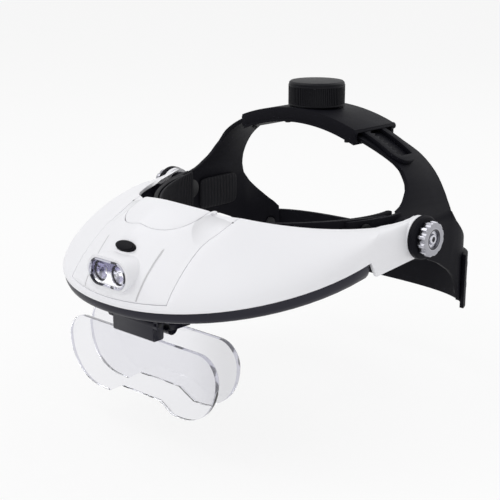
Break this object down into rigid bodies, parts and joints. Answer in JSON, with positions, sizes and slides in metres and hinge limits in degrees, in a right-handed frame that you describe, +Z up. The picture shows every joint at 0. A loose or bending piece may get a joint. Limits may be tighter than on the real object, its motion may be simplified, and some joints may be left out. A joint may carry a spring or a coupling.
{
  "type": "head-worn jeweler loupe",
  "caption": "Head-worn loupe: tilting visor with lamp and battery box, flip-up and rear clear lens plates, adjustable harness.",
  "frame": {"origin": "midpoint of the visor's pivot axis, between the wearer's temples", "axes": "+X to the wearer's left along the pivot axis, -Y to the front, +Z up"},
  "size_m": [0.1938, 0.2121, 0.148],
  "materials": {
    "black_plastic": "fine moulded satin",
    "rivet_plastic": "smooth satin",
    "pad_rubber": "soft ribbed",
    "knob_rubber": "matt with fine ribs",
    "switch_plastic": "satin",
    "white_plastic": "semi-gloss",
    "charcoal_plastic": "satin",
    "silver_plated": "satin plated",
    "steel": "plain",
    "reflector_mirror": "bright",
    "lamp_clear": "clear",
    "led_resin": "clear resin",
    "board": "coated",
    "cell_wrap": "plain sleeve",
    "lens_clear": "clear acrylic"
  },
  "bodies": {
    "harness": {"side_frame_left": "black_plastic", "side_frame_right": "black_plastic", "forehead_band": "black_plastic", "forehead_pad": "pad_rubber", "temple_pads": "pad_rubber", "nape_band": "black_plastic", "band_rivets": "rivet_plastic", "nape_rivets": "rivet_plastic", "ratchet_housing": "black_plastic", "ratchet_base": "black_plastic", "ratchet_screws": "steel", "pivot_bolts": "steel", "friction_washers": "steel"},
    "crown_knob": {"crown_knob": "knob_rubber", "crown_knob_cap": "knob_rubber", "pinion_shaft": "steel", "crown_knob_screw": "steel"},
    "rack_left": {"rack_left": "black_plastic"},
    "rack_right": {"rack_right": "black_plastic"},
    "side_knob_left": {"side_knob_left": "silver_plated", "knob_screw_left": "steel"},
    "side_knob_right": {"side_knob_right": "silver_plated", "knob_screw_right": "steel"},
    "visor": {"visor_shell": "white_plastic", "console_cover": "white_plastic", "under_tray": "charcoal_plastic", "pivot_disc_left": "black_plastic", "pivot_disc_right": "black_plastic", "lamp_bezel": "silver_plated", "lamp_reflector": "reflector_mirror", "lamp_window": "lamp_clear", "lamp_leds": "led_resin", "led_board": "board", "switch_body": "switch_plastic", "battery_box": "charcoal_plastic", "battery_cells": "cell_wrap", "battery_contacts": "steel", "tray_screws": "steel", "lens_bracket": "black_plastic", "clip_hinge_pin": "steel"},
    "switch_button": {"switch_button": "switch_plastic"},
    "battery_lid": {"battery_lid": "white_plastic"},
    "front_clip": {"front_clip": "black_plastic", "clip_spring": "steel"},
    "front_lens": {"front_lens": "lens_clear"},
    "rear_lens": {"rear_lens": "lens_clear"}
  },
  "joints": [
    {"name": "visor_tilt", "type": "hinge", "parent": "harness", "child": "visor", "pos_m": [0, 0, 0], "axis": [-1, 0, 0], "range_deg": [-8, 80]},
    {"name": "crown_knob_turn", "type": "hinge", "parent": "harness", "child": "crown_knob", "pos_m": [0, 0.025, 0.0463], "axis": [0, 0, -1], "range_deg": [0, 254.5]},
    {"name": "rack_left_slide", "type": "hinge", "parent": "harness", "child": "rack_left", "pos_m": [0, 0.025, -0.05651], "axis": [0, -1, 0], "range_deg": [0, 10.82]},
    {"name": "rack_right_slide", "type": "hinge", "parent": "harness", "child": "rack_right", "pos_m": [0, 0.025, -0.05651], "axis": [0, 1, 0], "range_deg": [0, 11.06]},
    {"name": "side_knob_left_turn", "type": "hinge", "parent": "harness", "child": "side_knob_left", "pos_m": [0.094, 0, 0], "axis": [1, 0, 0], "continuous": true},
    {"name": "side_knob_right_turn", "type": "hinge", "parent": "harness", "child": "side_knob_right", "pos_m": [-0.094, 0, 0], "axis": [-1, 0, 0], "continuous": true},
    {"name": "switch_press", "type": "slide", "parent": "visor", "child": "switch_button", "axis": [0, 0.7576, -0.6527], "range_m": [0, 0.001], "stiffness_N_per_m": 600, "springref_m": -0.0008},
    {"name": "battery_lid_off", "type": "slide", "parent": "visor", "child": "battery_lid", "axis": [0, 0, 1], "range_m": [0, 0.03]},
    {"name": "front_clip_flip", "type": "hinge", "parent": "visor", "child": "front_clip", "pos_m": [0, -0.1106, -0.0354], "axis": [-1, 0, 0], "range_deg": [0, 90]},
    {"name": "front_lens_off", "type": "slide", "parent": "front_clip", "child": "front_lens", "axis": [0, 0, -1], "range_m": [0, 0.012]},
    {"name": "rear_lens_off", "type": "slide", "parent": "visor", "child": "rear_lens", "axis": [0, 0, -1], "range_m": [0, 0.012]}
  ],
  "couplings": [
    {"joint": "rack_left_slide", "follows": "crown_knob_turn", "ratio": 0.041701},
    {"joint": "rack_right_slide", "follows": "crown_knob_turn", "ratio": 0.04265}
  ]
}
